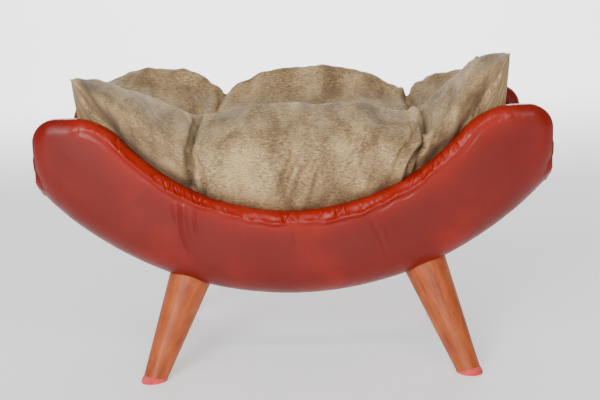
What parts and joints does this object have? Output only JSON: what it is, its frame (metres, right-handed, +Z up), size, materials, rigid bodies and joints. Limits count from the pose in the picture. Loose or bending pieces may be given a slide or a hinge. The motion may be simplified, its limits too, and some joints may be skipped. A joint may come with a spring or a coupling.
{
  "type": "raised pet bed",
  "caption": "Curved cradle bed for a small pet: leather-covered walls with raised ends, splayed round wooden legs and a loose tufted velvet cushion.",
  "frame": {"origin": "on the floor, under the middle of the bed", "axes": "+X along the bed's length to the right as seen from the front, -Y to the front, +Z up"},
  "size_m": [0.64, 0.3524, 0.388],
  "materials": {
    "plywood": "matte",
    "softwood": "matte",
    "blockwood": "matte",
    "screw_zinc": "satin",
    "foam": "matte",
    "shell_leather": "satin",
    "lining_leather": "satin",
    "dust_cloth": "matte",
    "staple_steel": "satin",
    "leg_wood": "satin",
    "bolt_steel": "satin",
    "pad_felt": "matte",
    "velvet": "satin",
    "filling": "matte",
    "tie_cord": "matte"
  },
  "bodies": {
    "frame": {"front_panel": "plywood", "rear_panel": "plywood", "deck_panel": "plywood", "left_end_rail": "softwood", "right_end_rail": "softwood", "leg_block_front_left": "blockwood", "leg_block_front_right": "blockwood", "leg_block_rear_left": "blockwood", "leg_block_rear_right": "blockwood", "panel_screws": "screw_zinc", "deck_foam": "foam", "front_foam": "foam", "rear_foam": "foam", "front_edge_roll": "foam", "rear_edge_roll": "foam", "front_cover": "shell_leather", "rear_cover": "shell_leather", "deck_lining": "lining_leather", "front_lining": "lining_leather", "rear_lining": "lining_leather", "left_end_cover": "lining_leather", "right_end_cover": "lining_leather", "dust_cover": "dust_cloth", "cover_staples": "staple_steel", "leg_front_left": "leg_wood", "leg_front_right": "leg_wood", "leg_rear_left": "leg_wood", "leg_rear_right": "leg_wood", "hanger_bolts": "bolt_steel", "tee_nuts": "bolt_steel", "foot_pad_front_left": "pad_felt", "foot_pad_front_right": "pad_felt", "foot_pad_rear_left": "pad_felt", "foot_pad_rear_right": "pad_felt"},
    "cushion": {"cushion_cover": "velvet", "cushion_filling": "filling", "tuft_ties": "tie_cord"}
  },
  "joints": [
    {"name": "cushion_lift", "type": "slide", "parent": "frame", "child": "cushion", "axis": [0, 0, 1], "range_m": [0, 0.25]}
  ]
}
